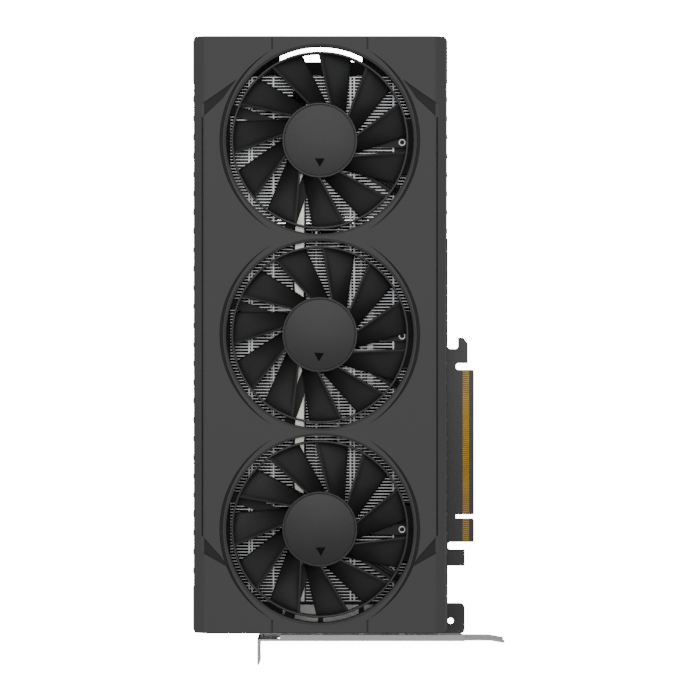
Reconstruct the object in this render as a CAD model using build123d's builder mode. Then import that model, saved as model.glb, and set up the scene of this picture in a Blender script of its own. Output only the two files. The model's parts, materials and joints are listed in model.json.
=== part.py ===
"""Graphics card with three axial fans, a finned heat-pipe cooler and a two-slot bracket.

Millimetres. The card lies on its backplate with the fans facing up: +Z towards the fans, +Y towards
the tail, +X towards the edge connector. The origin is the centre of the overall box, on the plane of
the backplate's outer face.
"""

import os
from math import cos, radians, sin

from build123d import *

os.makedirs("parts", exist_ok=True)

# ---------------------------------------------------------------- overall layout
fan_count = 3
opening_radius = 45.3
bridge = 3.3  # face left between two fan openings
side_margin = 16.85  # fan opening to the shroud's side
end_margin = 4.9  # fan opening to the shroud's end
card_thickness = 48.0  # backplate's outer face to the shroud's front face
shroud_over_flange = 31.75  # how far the shroud stands beyond the bracket's screw flange
bracket_span = 120.02  # flange face to tongue tip, the standard full height
bracket_setback = 4.4  # shroud's end to the bracket's outer face
flange_reach = 11.43  # the screw flange, outwards from the bracket

fan_pitch = 2 * opening_radius + bridge
shroud_width = 2 * (opening_radius + side_margin)
shroud_length = (fan_count - 1) * fan_pitch + 2 * (opening_radius + end_margin)

overall_x = shroud_over_flange + bracket_span
overall_y = shroud_length + bracket_setback + flange_reach
left_x = -overall_x / 2
tail_y = overall_y / 2
shroud_x = left_x + shroud_width / 2  # line through the three fan axes
shroud_end_y = tail_y - shroud_length
shroud_mid_y = (tail_y + shroud_end_y) / 2
bracket_y = shroud_end_y - bracket_setback  # bracket's outer face
flange_x = left_x + shroud_over_flange
tip_x = flange_x + bracket_span

# ---------------------------------------------------------------- fans
blade_count = 11
fan_phases = (0.0, -2.2, 2.4)  # how far each rotor happens to have turned, degrees
hoop_gap = 2.5  # hoop to the opening's edge
rotor_radius = opening_radius - hoop_gap
rotor_band = 1.0  # wall of the hoop that joins the blade tips
rotor_top = card_thickness - 1.6
rotor_height = 9.4
hub_radius = 18.1
hub_wall = 1.2
hub_edge = 0.7
badge_depth = 0.4
badge_offset, badge_radius = 10.2, 2.7
blade_root_lead, blade_root_trail = 72.7, 45.4  # angles of the blade's edges at the hub
blade_tip_lead, blade_tip_trail = 90.7, 69.0  # and at the hoop
blade_thickness = 1.0
shaft_radius = 1.5
running_gap = 0.05
bush_radius = 3.0
tube_wall = 0.9
motor_gap = 0.5
magnet_wall = 1.6
spider_thickness = 1.6
spider_gap = 0.6  # rotor's underside to the spider
fan_screw_reach = rotor_radius - 2.9  # fan axis to the visible fan screw
fan_screw_head = 1.85
arm_angles = (160.0, 250.7)  # the arms that are screwed up into the shroud
arm_reaches = (opening_radius + 7.9, opening_radius + 3.1)
mount_arm_angle = -1.0  # the arm that is screwed down onto the fan mount
cable_arm_angle = -33.0
arm_width = 5.0
cable_arm_reach = opening_radius + 10.7
boss_radius = 3.0

rotor_bottom = rotor_top - rotor_height
spider_top = rotor_bottom - spider_gap
spider_bottom = spider_top - spider_thickness
fan_ys = [shroud_mid_y + fan_pitch * (1 - n) for n in range(fan_count)]

# ---------------------------------------------------------------- shroud
shroud_wall = 1.8
shroud_face = 2.2
skirt_bottom = 6.0
shoulder_z = 44.0
shoulder_inset = 1.5  # the side leans in by this much between the skirt and the shoulder
bevel_inset = 6.15  # skirt to where the flat face starts
skirt_z = 22.0
rim_bevel = 1.1  # bevel round each fan opening
side_rounding, end_rounding = 2.6, 0.8
groove_depth = 1.2
crescent_gap, crescent_width = 1.4, 1.7  # thin groove beside each opening, at its widest
crescent_shift, crescent_inner_shift = 1.7, 5.28  # these two set where the groove runs out
horn_depth = 1.0
rail_groove_inner = shroud_width / 2 - 5.95
rail_groove_width = 0.8
seam_offset = 23.0
seam_length = 6.5
seam_width = 0.8
window_pitch = 9.2
window_width = 7.2
window_low, window_high = 13.0, 33.0
window_margin = 18.0
outlet_margin, outlet_top = 12.0, 34.0

# ---------------------------------------------------------------- board and edge connector
backplate_thickness = 1.2
board_gap = 2.0  # backplate to board
board_thickness = 1.6
board_bottom = backplate_thickness + board_gap
board_top = board_bottom + board_thickness
board_left = left_x + 5.5
board_bracket_gap = 0.3
bracket_sheet = 1.0
board_end_y = bracket_y + bracket_sheet + board_bracket_gap
edge_x = tip_x - 13.95  # outer edge of the gold contacts' tongue
board_right = edge_x - 12.95
key_y = bracket_y + 59.05  # centre of the key notch
key_width = 1.9
key_root = edge_x - 8.95
long_tongue = 71.35
short_tongue = 11.65
long_end_y = key_y + key_width / 2 + long_tongue
board_tail_y = long_end_y + 65.9
contact_pitch = 1.0
contact_count_short, contact_count_long = 11, 71
contact_width = 0.7
contact_length = 3.2
contact_inset = 2.4
contact_plate = 0.05
contact_from_key = 1.5
side_tab_x = edge_x - 4.6
hook_x0, hook_x1 = edge_x - 7.85, edge_x - 3.05
hook_top_y = long_end_y + 15.9
hook_notch = 5.6
bracket_hole_r = 1.5

# ---------------------------------------------------------------- bracket
slot_pitch = 20.32
slot_width = 18.42
bracket_bottom = 0.2
bracket_top = bracket_bottom + slot_width + slot_pitch
plate_end_x = tip_x - 19.5
lip_start_x = flange_x + 11.0
lip_reach = 2.0
tongue_width = 10.19
notch_radius = 2.2
port_pitch = 20.0
port_first_x = flange_x + 20.51
port_width, port_height, port_depth = 17.4, 6.4, 16.0
port_wall = 0.5
port_clear = 0.15
port_count = 4
tab_x0, tab_x1, tab_reach = flange_x + 0.7, flange_x + 10.9, 8.0
inner_y = bracket_y + bracket_sheet
tab_screws = [(x, inner_y + tab_reach / 2 + 0.6) for x in (tab_x0 + 2.7, tab_x1 - 2.7)]

# ---------------------------------------------------------------- cooler
fin_pitch = 1.48
fin_thickness = 0.45
fin_left, fin_right = -opening_radius - 6.7, opening_radius + 2.7  # from the fan axes' line
fin_top = spider_bottom - 0.5
fin_bottom = 9.8
fin_bottom_tail = 3.4  # where air passes right through the card
fin_tail_y = tail_y - 18.4
fin_end_y = shroud_end_y + 14.6
fin_notch_x_right, fin_notch_x_left = fan_screw_reach - 3.9, -fan_screw_reach - 3.6
fin_notch_up, fin_notch_down = 12.0, 17.0
link_xs = (-47.5, -34.4, -33.0, -22.6, 14.8, 16.6, 35.6)  # folded edges that link the fins
link_width, link_thickness = 0.7, 0.4
pipe_radius = 3.0
pipe_clear = 0.12
pipe_xs = (-24.0, -2.0, 9.0, 20.0)
top_pipe_x = -10.0
top_pipe_width, top_pipe_height, top_pipe_rounding = 6.2, 5.0, 1.2  # flattened
top_pipe_end_y = fin_tail_y - 7.5  # where the pipe has turned down into the fins
pipe_z = fin_bottom + pipe_radius  # the pipes rest on the cold plate
stack_gap = 0.9
mount_height = 12.0  # depth of the fins' corner notches, filled by the fan mounts
die_size = (21.0, 23.0)
package_size = 40.0
package_thickness = 1.5
die_thickness = 0.8
gpu_y = long_end_y + 11.2
cold_plate_size = 52.0

screw_head_r, screw_head_h, screw_shank_r = 2.4, 1.2, 1.1
thread_clear = 0.05

# ---------------------------------------------------------------- power connectors
power_width, power_height, power_depth = 18.5, 9.6, 13.0
power_pitch = 20.5
power_clear = 0.4
power_count = 2
pin_pitch = 4.2
power_x0 = left_x + 0.9
power_x1 = power_x0 + power_depth
power_y1 = board_tail_y - 0.8
power_y0 = power_y1 - power_pitch * (power_count - 1) - power_width
power_top = board_top + power_height


def save(piece, label):
    """Labels a finished piece and writes it as one STEP file."""
    piece.part.label = label
    export_step(piece.part, f"parts/{label}.step")


def polar(radius, angle):
    """Point at an angle in degrees from +X."""
    return radius * cos(radians(angle)), radius * sin(radians(angle))


# ================================================================ shroud
half = shroud_width / 2
outline = [
    (half, skirt_bottom),
    (half, skirt_z),
    (half - shoulder_inset, shoulder_z),
    (half - bevel_inset, card_thickness),
]


def section(points, inset, top):
    """Closed half-mirrored section of the shroud, drawn on an XZ plane."""
    right = [(x - inset, z) for x, z in points[:-1]] + [(points[-1][0] - inset, top)]
    return right + [(-x, z) for x, z in reversed(right)]


def horn(mirror_x, centre_y, points, depth):
    """Cutter for a recessed diagonal facet beside a fan opening."""
    with BuildPart() as cutter:
        with BuildSketch(Plane.XY.offset(card_thickness - depth)):
            with BuildLine():
                Polyline(*[(shroud_x + mirror_x * (half - x), centre_y + y) for x, y in points], close=True)
            make_face()
        extrude(amount=depth + 1)
    return cutter.part


# corners of the facets: distance in from the shroud's side, and along it from the fan axis
upper_horn = [
    (22.15, 29.3),
    (12.45, 22.4),
    (6.05, 18.1),
    (0.8, 14.0),
    (-0.2, 8.0),
    (-0.2, -24.0),
    (1, -30.0),
    (4.95, 4.0),
    (5.75, 11.0),
    (15.55, 20.2),
    (18.05, 23.9),
]
lower_horn = [
    (18.25, -18.5),
    (4.85, -10.9),
    (0.8, -8.0),
    (-0.2, -2.0),
    (-0.2, 26.0),
    (1, 32.0),
    (4.95, 2.0),
    (5.55, -3.1),
    (14.35, -13.0),
]

with BuildPart() as shroud:
    # outer skin, extruded along the card
    with BuildSketch(Plane.XZ.offset(-tail_y)):
        with Locations((shroud_x, 0)):
            Polygon(*section(outline, 0, card_thickness), align=None)
    extrude(amount=shroud_length)
    long_edges = shroud.edges().filter_by(Axis.Y)
    fillet(long_edges.filter_by_position(Axis.Z, shoulder_z - 1, card_thickness + 1), side_rounding)
    end_edges = shroud.edges().filter_by_position(Axis.Z, card_thickness - 0.01, card_thickness + 0.01)
    fillet(end_edges.filter_by(Axis.X), end_rounding)
    # hollow
    inner = [(x, z) for x, z in outline]
    inner[0] = (half, skirt_bottom - 1)
    with BuildSketch(Plane.XZ.offset(-tail_y + shroud_wall)):
        with Locations((shroud_x, 0)):
            Polygon(*section(inner, shroud_wall, card_thickness - shroud_face), align=None)
    extrude(amount=shroud_length - 2 * shroud_wall, mode=Mode.SUBTRACT)
    # ducts round the rotors, then the openings
    with BuildSketch(Plane.XY.offset(rotor_bottom + 1)):
        with Locations(*[(shroud_x, y) for y in fan_ys]):
            Circle(opening_radius + shroud_wall)
    extrude(until=Until.NEXT)
    with BuildSketch(Plane.XY.offset(rotor_bottom - 5)):
        with Locations(*[(shroud_x, y) for y in fan_ys]):
            Circle(opening_radius)
    extrude(amount=card_thickness, mode=Mode.SUBTRACT)
    for y in fan_ys:
        with Locations((shroud_x, y, card_thickness - rim_bevel)):
            Cone(
                opening_radius,
                opening_radius + rim_bevel,
                rim_bevel,
                align=(Align.CENTER, Align.CENTER, Align.MIN),
                mode=Mode.SUBTRACT,
            )
    # crescent grooves each side of each opening
    for y in fan_ys:
        for side in (-1, 1):
            with BuildSketch(Plane.XY.offset(card_thickness - groove_depth)):
                with Locations((shroud_x - side * crescent_shift, y)):
                    Circle(opening_radius + crescent_shift + crescent_gap + crescent_width)
                with Locations((shroud_x - side * crescent_inner_shift, y)):
                    Circle(opening_radius + crescent_inner_shift + crescent_gap, mode=Mode.SUBTRACT)
            extrude(amount=groove_depth + 1, mode=Mode.SUBTRACT)
    for side in (-1, 1):
        add(horn(side, fan_ys[0], upper_horn, horn_depth), mode=Mode.SUBTRACT)
        add(horn(side, fan_ys[-1], lower_horn, horn_depth), mode=Mode.SUBTRACT)
        # straight groove along the rail between the horns
        rail_top = fan_ys[0] + 11.0
        rail_end = fan_ys[-1] - 3.1
        groove_x = shroud_x + side * (rail_groove_inner + rail_groove_width / 2)
        with Locations((groove_x, (rail_top + rail_end) / 2, card_thickness)):
            Box(rail_groove_width, rail_top - rail_end, 2 * groove_depth + 1.2, mode=Mode.SUBTRACT)
        # seams at both ends
        for end, direction in ((tail_y, -1), (shroud_end_y, 1)):
            with Locations((shroud_x + side * seam_offset, end + direction * seam_length / 2, card_thickness)):
                Box(seam_width, seam_length, 2 * groove_depth, mode=Mode.SUBTRACT)
    # air windows along both sides
    window_count = int((shroud_length - 2 * window_margin) // window_pitch)
    with BuildSketch(Plane.YZ.offset(left_x - 5)):
        with Locations((shroud_mid_y, (window_low + window_high) / 2)):
            with GridLocations(window_pitch, 1, window_count, 1):
                RectangleRounded(window_width, window_high - window_low, 1.5)
    extrude(amount=shroud_width + 10, mode=Mode.SUBTRACT)
    # bosses for the fan arms
    boss_places = [
        (shroud_x + polar(reach, angle)[0], y + polar(reach, angle)[1])
        for y in fan_ys
        for angle, reach in zip(arm_angles, arm_reaches)
    ]
    with BuildSketch(Plane.XY.offset(spider_top)):
        with Locations(*boss_places):
            Circle(boss_radius)
    extrude(amount=card_thickness - shroud_face / 2 - 1 - spider_top)
    with BuildSketch(Plane.XY.offset(spider_top)):
        with Locations(*boss_places):
            Circle(screw_shank_r + thread_clear)
    extrude(amount=4, mode=Mode.SUBTRACT)
    # opening in the side for the power connectors
    with Locations((left_x, (power_y0 + power_y1) / 2, power_top + power_clear)):
        Box(
            20,
            power_y1 - power_y0 + 2 * power_clear,
            power_top,
            align=(Align.CENTER, Align.CENTER, Align.MAX),
            mode=Mode.SUBTRACT,
        )
    # outlet in the end wall, open at the bottom for the ports
    with BuildSketch(Plane.XZ.offset(-shroud_end_y - shroud_wall - 1)):
        with Locations((shroud_x - half + outlet_margin, skirt_bottom - 1)):
            Rectangle(shroud_width - outlet_margin - shroud_wall, outlet_top - skirt_bottom + 1, align=Align.MIN)
    extrude(amount=shroud_wall + 2, mode=Mode.SUBTRACT)

save(shroud, "shroud")

# ================================================================ board and its edge
key_low, key_high = key_y - key_width / 2, key_y + key_width / 2
short_end_y = key_low - short_tongue
tab_top_y = short_end_y - 3.7
tab_bottom_y = tab_top_y - 8.0
foot_top_y = board_end_y + 15.1
hook_bottom_y = long_end_y + 3.2
hook_floor_y = hook_top_y - hook_notch
edge_chamfer = 0.6

board_outline = [
    (board_left, board_end_y),
    (side_tab_x, board_end_y),
    (side_tab_x, foot_top_y),
    (board_right, foot_top_y),
    (board_right, tab_bottom_y),
    (side_tab_x, tab_bottom_y),
    (side_tab_x, tab_top_y),
    (board_right, tab_top_y),
    (board_right, short_end_y),
    (edge_x - edge_chamfer, short_end_y),
    (edge_x, short_end_y + edge_chamfer),
    (edge_x, key_low - edge_chamfer),
    (edge_x - edge_chamfer, key_low),
    (key_root, key_low),
    (key_root, key_high),
    (edge_x - edge_chamfer, key_high),
    (edge_x, key_high + edge_chamfer),
    (edge_x, long_end_y - edge_chamfer),
    (edge_x - edge_chamfer, long_end_y),
    (key_root, long_end_y),
    (key_root, hook_bottom_y),
    (hook_x1, hook_bottom_y),
    (hook_x1, hook_top_y - 2.9),
    (hook_x1 - 2.3, hook_top_y),
    (hook_x0, hook_top_y),
    (hook_x0, hook_floor_y),
    (board_right, hook_floor_y),
    (board_right, board_tail_y - 1.5),
    (board_right - 1.5, board_tail_y),
    (board_left, board_tail_y),
]
foot_hole = (side_tab_x - 6.9, board_end_y + 6.3)
clamp_hole_pitch = 58.0
cooler_screw_r = 1.6

with BuildPart() as board:
    with BuildSketch(Plane.XY.offset(board_bottom)) as board_sketch:
        with BuildLine():
            Polyline(*board_outline, close=True)
        make_face()
        slot_corners = [
            v
            for v in board_sketch.vertices()
            if (abs(v.X - key_root) < 0.01 and abs(v.Y - (long_end_y + hook_bottom_y) / 2) < 2)
            or (abs(v.X - board_right) < 0.01 and abs(v.Y - (short_end_y + tab_top_y) / 2) < 2)
            or (abs(v.Y - hook_floor_y) < 0.01)
        ]
        fillet(slot_corners, 1.4)
        foot_corners = [
            v for v in board_sketch.vertices() if abs(v.X - side_tab_x) < 0.01 and v.Y < foot_top_y + 0.1
        ]
        fillet(foot_corners, 2.4)
        with Locations(foot_hole):
            Circle(bracket_hole_r, mode=Mode.SUBTRACT)
        with Locations((shroud_x, gpu_y)):
            with GridLocations(clamp_hole_pitch, clamp_hole_pitch, 2, 2):
                Circle(cooler_screw_r, mode=Mode.SUBTRACT)
        with Locations(*tab_screws):
            Circle(screw_shank_r, mode=Mode.SUBTRACT)
    extrude(amount=board_thickness)
save(board, "circuit_board")

# contacts on both faces of the edge
contact_x = edge_x - contact_inset - contact_length / 2
contact_ys = [key_low + key_width / 2 - contact_from_key - contact_pitch * n for n in range(contact_count_short)]
contact_ys += [key_y + contact_from_key + contact_pitch * n for n in range(contact_count_long)]
with BuildPart() as contacts:
    with BuildSketch(Plane.XY.offset(board_top), Plane.XY.offset(board_bottom - contact_plate)):
        with Locations(*[(contact_x, y) for y in contact_ys]):
            Rectangle(contact_length, contact_width)
    extrude(amount=contact_plate)
save(contacts, "edge_contacts")

# ================================================================ backplate
back_inset = 3.2
back_left = left_x + back_inset
back_right = left_x + shroud_width - back_inset
back_tail = tail_y - 2.5
back_end = board_end_y + 2.0
air_y0, air_y1 = board_tail_y + 5.5, fin_tail_y - 12.0
air_x0, air_x1 = shroud_x - 42.0, shroud_x + 34.0
tail_notch_x0, tail_notch_x1 = shroud_x - 20.0, shroud_x + 20.5
tail_notch_y = tail_y - 9.3
screw_recess = 0.5
back_screws = [
    (x, y) for x in (back_left + 6, back_right - 6) for y in (back_end + 9, shroud_mid_y - 28, air_y0 - 9, back_tail - 8)
]
clamp_window = clamp_hole_pitch + 14
back_vent_pitch, back_vent_length, back_vent_width, back_vents = 5.0, 34.0, 2.2, 9

with BuildPart() as backplate:
    with BuildSketch() as back_sketch:
        with Locations(((back_left + back_right) / 2, (back_tail + back_end) / 2)):
            RectangleRounded(back_right - back_left, back_tail - back_end, 3)
        with Locations(((air_x0 + air_x1) / 2, (air_y0 + air_y1) / 2)):
            RectangleRounded(air_x1 - air_x0, air_y1 - air_y0, 4, mode=Mode.SUBTRACT)
        with Locations((shroud_x, gpu_y)):
            RectangleRounded(clamp_window, clamp_window, 5, mode=Mode.SUBTRACT)
        with Locations((shroud_x, back_end + 45)):
            with GridLocations(1, back_vent_pitch, 1, back_vents):
                SlotOverall(back_vent_length, back_vent_width, mode=Mode.SUBTRACT)
        with Locations((tail_notch_x0, tail_notch_y)):
            Rectangle(
                tail_notch_x1 - tail_notch_x0,
                back_tail,
                align=(Align.MIN, Align.MIN),
                mode=Mode.SUBTRACT,
            )
    extrude(amount=backplate_thickness)
    fillet(backplate.faces().sort_by(Axis.Z)[0].outer_wire().edges(), 0.4)
    # folded edges stand between the board and the shroud's skirt
    with Locations(
        (back_left + 0.6, (board_tail_y + back_tail) / 2 + 2, backplate_thickness),
        (back_right - 0.6, (board_tail_y + back_tail) / 2 + 2, backplate_thickness),
    ):
        Box(1.2, back_tail - board_tail_y - 16, 6, align=(Align.CENTER, Align.CENTER, Align.MIN))
    # bosses for the screws: short ones under the board, taller ones past its tail
    with BuildSketch(Plane.XY.offset(backplate_thickness)):
        with Locations(*back_screws):
            Circle(screw_head_r)
    extrude(amount=board_gap)
    with BuildSketch():
        with Locations(*back_screws):
            Circle(screw_shank_r)
    extrude(amount=board_top, mode=Mode.SUBTRACT)
    with BuildSketch():
        with Locations(*back_screws):
            Circle(screw_head_r + 0.1)
    extrude(amount=screw_recess, mode=Mode.SUBTRACT)
save(backplate, "backplate")


def screws(places, z, up, label, head_r=screw_head_r, shank=3.0, head_h=screw_head_h):
    """Group of cross-head screws whose heads sit on the plane z, facing up or down."""
    sign = 1 if up else -1
    with BuildPart() as group:
        for x, y in places:
            plane = Plane(origin=(x, y, z), z_dir=(0, 0, sign))
            with BuildSketch(plane):
                Circle(head_r)
            extrude(amount=head_h)
            with BuildSketch(plane):
                Circle(screw_shank_r)
            extrude(amount=-shank)
            with BuildSketch(plane.offset(head_h)):
                Rectangle(1.2 * head_r, 0.25 * head_r)
                Rectangle(0.25 * head_r, 1.2 * head_r)
            extrude(amount=-0.5 * head_h, mode=Mode.SUBTRACT)
    save(group, label)


screws(back_screws, screw_recess, False, "backplate_screws", shank=2.6, head_h=0.4)

# spring clamp behind the processor
clamp_z = 1.4
clamp_sheet = 0.9
with BuildPart() as clamp:
    with BuildSketch(Plane.XY.offset(clamp_z)):
        for angle in (45, -45):
            with Locations((shroud_x, gpu_y)):
                with Locations(Rotation(0, 0, angle)):
                    SlotCenterToCenter(clamp_hole_pitch * 2**0.5, 8.0)
        with Locations((shroud_x, gpu_y)):
            RectangleRounded(26, 26, 4)
            RectangleRounded(15, 15, 3, mode=Mode.SUBTRACT)
            with GridLocations(clamp_hole_pitch, clamp_hole_pitch, 2, 2):
                Circle(cooler_screw_r, mode=Mode.SUBTRACT)
    extrude(amount=clamp_sheet)
save(clamp, "spring_clamp")

clamp_places = [(shroud_x + sx * clamp_hole_pitch / 2, gpu_y + sy * clamp_hole_pitch / 2) for sx in (-1, 1) for sy in (-1, 1)]
screws(clamp_places, clamp_z, False, "clamp_screws", shank=7.0, head_h=1.0)

# ================================================================ chips and power parts
with BuildPart() as package:
    with Locations((shroud_x, gpu_y, board_top)):
        with Locations(Rotation(0, 0, 45)):
            Box(package_size, package_size, package_thickness, align=(Align.CENTER, Align.CENTER, Align.MIN))
save(package, "processor_package")

die_bottom = board_top + package_thickness
die_top = die_bottom + die_thickness
with BuildPart() as die:
    with Locations((shroud_x, gpu_y, die_bottom)):
        Box(*die_size, die_thickness, align=(Align.CENTER, Align.CENTER, Align.MIN))
save(die, "processor_die")

memory_w, memory_l, memory_h = 12.0, 14.0, 1.2
memory_places = [(sx * 41.0, sy * 12.0) for sx in (-1, 1) for sy in (-1, 1)]
memory_places += [(sx * 12.0, -43.0) for sx in (-1, 1)] + [(sx * 12.0, 43.0) for sx in (-1, 1)]
with BuildPart() as memory:
    with Locations(*[(shroud_x + x, gpu_y + y, board_top) for x, y in memory_places]):
        Box(memory_w, memory_l, memory_h, align=(Align.CENTER, Align.CENTER, Align.MIN))
save(memory, "memory_chips")

choke_size, choke_h = 7.5, 4.2
choke_ys = [gpu_y - 87 + 10.5 * n for n in range(4)]
choke_places = [(shroud_x + 26, y) for y in choke_ys] + [(shroud_x - 38, y) for y in choke_ys]
with BuildPart() as chokes:
    with Locations(*[(x, y, board_top) for x, y in choke_places]):
        Box(choke_size, choke_size, choke_h, align=(Align.CENTER, Align.CENTER, Align.MIN))
    fillet(chokes.edges().filter_by(Axis.Z), 1.0)
save(chokes, "power_chokes")

with BuildPart() as mosfets:
    with Locations(*[(x + 9.0, y, board_top) for x, y in choke_places]):
        Box(5.0, 6.0, 1.0, align=(Align.CENTER, Align.CENTER, Align.MIN))
save(mosfets, "power_stages")

cap_r, cap_h = 2.9, 3.9
with BuildPart() as capacitors:
    with Locations(*[(x - 9.0, y, board_top) for x, y in choke_places]):
        Cylinder(cap_r, cap_h, align=(Align.CENTER, Align.CENTER, Align.MIN))
save(capacitors, "polymer_capacitors")

# ================================================================ cooler
pad_gap = 0.1
cold_plate_bottom = die_top + pad_gap
cooler_base_top = fin_bottom
with BuildPart() as cold_plate:
    with Locations((shroud_x, gpu_y, cold_plate_bottom)):
        Box(
            cold_plate_size,
            cold_plate_size,
            cooler_base_top - cold_plate_bottom,
            align=(Align.CENTER, Align.CENTER, Align.MIN),
        )
save(cold_plate, "cold_plate")

frame_x0, frame_x1 = power_x1 + power_clear, shroud_x + fin_right - 3
frame_y0, frame_y1 = fin_end_y + 2, board_tail_y - 3
frame_sheet = 0.6
with BuildPart() as cooler_frame:
    with BuildSketch(Plane.XY.offset(cooler_base_top - frame_sheet)):
        with Locations(((frame_x0 + frame_x1) / 2, (frame_y0 + frame_y1) / 2)):
            RectangleRounded(frame_x1 - frame_x0, frame_y1 - frame_y0, 2)
        with Locations((shroud_x, gpu_y)):
            Rectangle(cold_plate_size + 0.4, cold_plate_size + 0.4, mode=Mode.SUBTRACT)
    extrude(amount=frame_sheet)
    with BuildSketch(Plane.XY.offset(board_top)):
        with Locations(*clamp_places):
            Circle(3.0)
            Circle(screw_shank_r, mode=Mode.SUBTRACT)
    extrude(amount=cooler_base_top - frame_sheet - board_top)
save(cooler_frame, "cooler_frame")

pad_bottom = board_top + memory_h
pad_top = cooler_base_top - frame_sheet
with BuildPart() as pads:
    with Locations(*[(shroud_x + x, gpu_y + y, pad_bottom) for x, y in memory_places]):
        Box(memory_w - 1, memory_l - 1, pad_top - pad_bottom, align=(Align.CENTER, Align.CENTER, Align.MIN))
save(pads, "thermal_pads")

# heat pipes: four straight ones low in the fins, one that turns back along their top edges
pipe_y0, pipe_y1 = fin_end_y - 1.5, fin_tail_y + 1.5
with BuildPart() as pipes:
    with BuildSketch(Plane.XZ.offset(-pipe_y0)):
        with Locations(*[(shroud_x + x, pipe_z) for x in pipe_xs]):
            Circle(pipe_radius)
    extrude(amount=-(pipe_y1 - pipe_y0))
    fillet(pipes.edges().filter_by(GeomType.CIRCLE), 1.2)
save(pipes, "heat_pipes")

top_pipe_z = fin_top - top_pipe_height / 2
low_pipe_z = fin_bottom + top_pipe_height / 2
turn = (top_pipe_z - low_pipe_z) / 2
turn_y = top_pipe_end_y - turn - top_pipe_height / 2
with BuildPart() as top_pipe:
    with BuildLine() as top_path:
        low = Line((shroud_x + top_pipe_x, gpu_y - 30, low_pipe_z), (shroud_x + top_pipe_x, turn_y, low_pipe_z))
        bend = ThreePointArc(
            low @ 1,
            (shroud_x + top_pipe_x, turn_y + turn, low_pipe_z + turn),
            (shroud_x + top_pipe_x, turn_y, top_pipe_z),
        )
        Line(bend @ 1, (shroud_x + top_pipe_x, fin_end_y, top_pipe_z))
    with BuildSketch(Plane(low @ 0, x_dir=(1, 0, 0), z_dir=low % 0)):
        RectangleRounded(top_pipe_width, top_pipe_height, top_pipe_rounding)
    sweep()
save(top_pipe, "top_heat_pipe")

# fins, in three blocks that meet under the bridges between the fans
block_edges = [fin_tail_y, shroud_mid_y + fan_pitch / 2, shroud_mid_y - fan_pitch / 2, fin_end_y]
fin_x0, fin_x1 = shroud_x + fin_left, shroud_x + fin_right
notch_x0, notch_x1 = shroud_x + fin_notch_x_left, shroud_x + fin_notch_x_right


def fin_profile(floor_z, notched, by_connectors, at_turn):
    """Outline of one fin on the current plane, with its pipe holes and corner cut-outs."""
    with Locations(((fin_x0 + fin_x1) / 2, (floor_z + fin_top) / 2)):
        Rectangle(fin_x1 - fin_x0, fin_top - floor_z)
    with Locations(*[(shroud_x + x, pipe_z) for x in pipe_xs]):
        Circle(pipe_radius + pipe_clear, mode=Mode.SUBTRACT)
    slot_width = top_pipe_width + 2 * pipe_clear
    slot_height = top_pipe_height + 2 * pipe_clear
    with Locations((shroud_x + top_pipe_x, low_pipe_z)):
        Rectangle(slot_width, slot_height, mode=Mode.SUBTRACT)
    if at_turn:
        with Locations((shroud_x + top_pipe_x, low_pipe_z)):
            Rectangle(slot_width, fin_top, align=(Align.CENTER, Align.MIN), mode=Mode.SUBTRACT)
    else:
        with Locations((shroud_x + top_pipe_x, top_pipe_z - slot_height / 2)):
            Rectangle(slot_width, fin_top, align=(Align.CENTER, Align.MIN), mode=Mode.SUBTRACT)
    if notched:
        for x, side in ((notch_x0, Align.MAX), (notch_x1, Align.MIN)):
            with Locations((x, fin_top - mount_height)):
                Rectangle(fin_x1 - fin_x0, fin_top, align=(side, Align.MIN), mode=Mode.SUBTRACT)
    if by_connectors:
        with Locations((power_x1 + power_clear, power_top + power_clear)):
            Rectangle(fin_x1 - fin_x0, fin_top, align=(Align.MAX, Align.MAX), mode=Mode.SUBTRACT)


for number in range(fan_count):
    fan_y = fan_ys[number]
    upper = block_edges[number] - (stack_gap / 2 if number else 0)
    lower = block_edges[number + 1] + (stack_gap / 2 if number < fan_count - 1 else 0)
    floor_z = fin_bottom_tail if number == 0 else fin_bottom
    if number == 0:
        lower = max(lower, board_tail_y + 1.5)
    fins_in_block = int((upper - lower - fin_thickness) // fin_pitch) + 1
    first_y = (upper + lower) / 2 - ((fins_in_block - 1) * fin_pitch + fin_thickness) / 2
    rows = [first_y + fin_pitch * n for n in range(fins_in_block)]
    notch_low, notch_high = fan_y - fin_notch_down, fan_y + fin_notch_up
    kinds = {}
    for y in rows:
        beside_mount = notch_low < y + fin_thickness and y < notch_high
        beside_power = power_y0 - 1 < y + fin_thickness and y < power_y1 + 1
        beside_turn = turn_y < y + fin_thickness and y < top_pipe_end_y + pipe_clear
        kinds.setdefault((beside_mount, beside_power, beside_turn), []).append(y)
    with BuildPart() as fins:
        for (notched, by_connectors, at_turn), ys in kinds.items():
            with BuildSketch(*[Plane.XZ.offset(-y - fin_thickness) for y in ys]):
                fin_profile(floor_z, notched, by_connectors, at_turn)
        extrude(amount=fin_thickness, clean=False)
        # folded edges link each fin to the next
        with BuildSketch(Plane.XY.offset(fin_top)):
            for x in link_xs:
                cut = x < fin_notch_x_left
                spans = [[y for y in rows if y > notch_high], [y for y in rows if y < notch_low - fin_thickness]]
                for span in spans if cut else [rows]:
                    if len(span) > 1:
                        with Locations((shroud_x + x, span[0])):
                            Rectangle(link_width, span[-1] - span[0] + fin_thickness, align=(Align.CENTER, Align.MIN))
        extrude(amount=-link_thickness, clean=False)
    save(fins, f"fin_block_{number + 1}")

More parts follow.
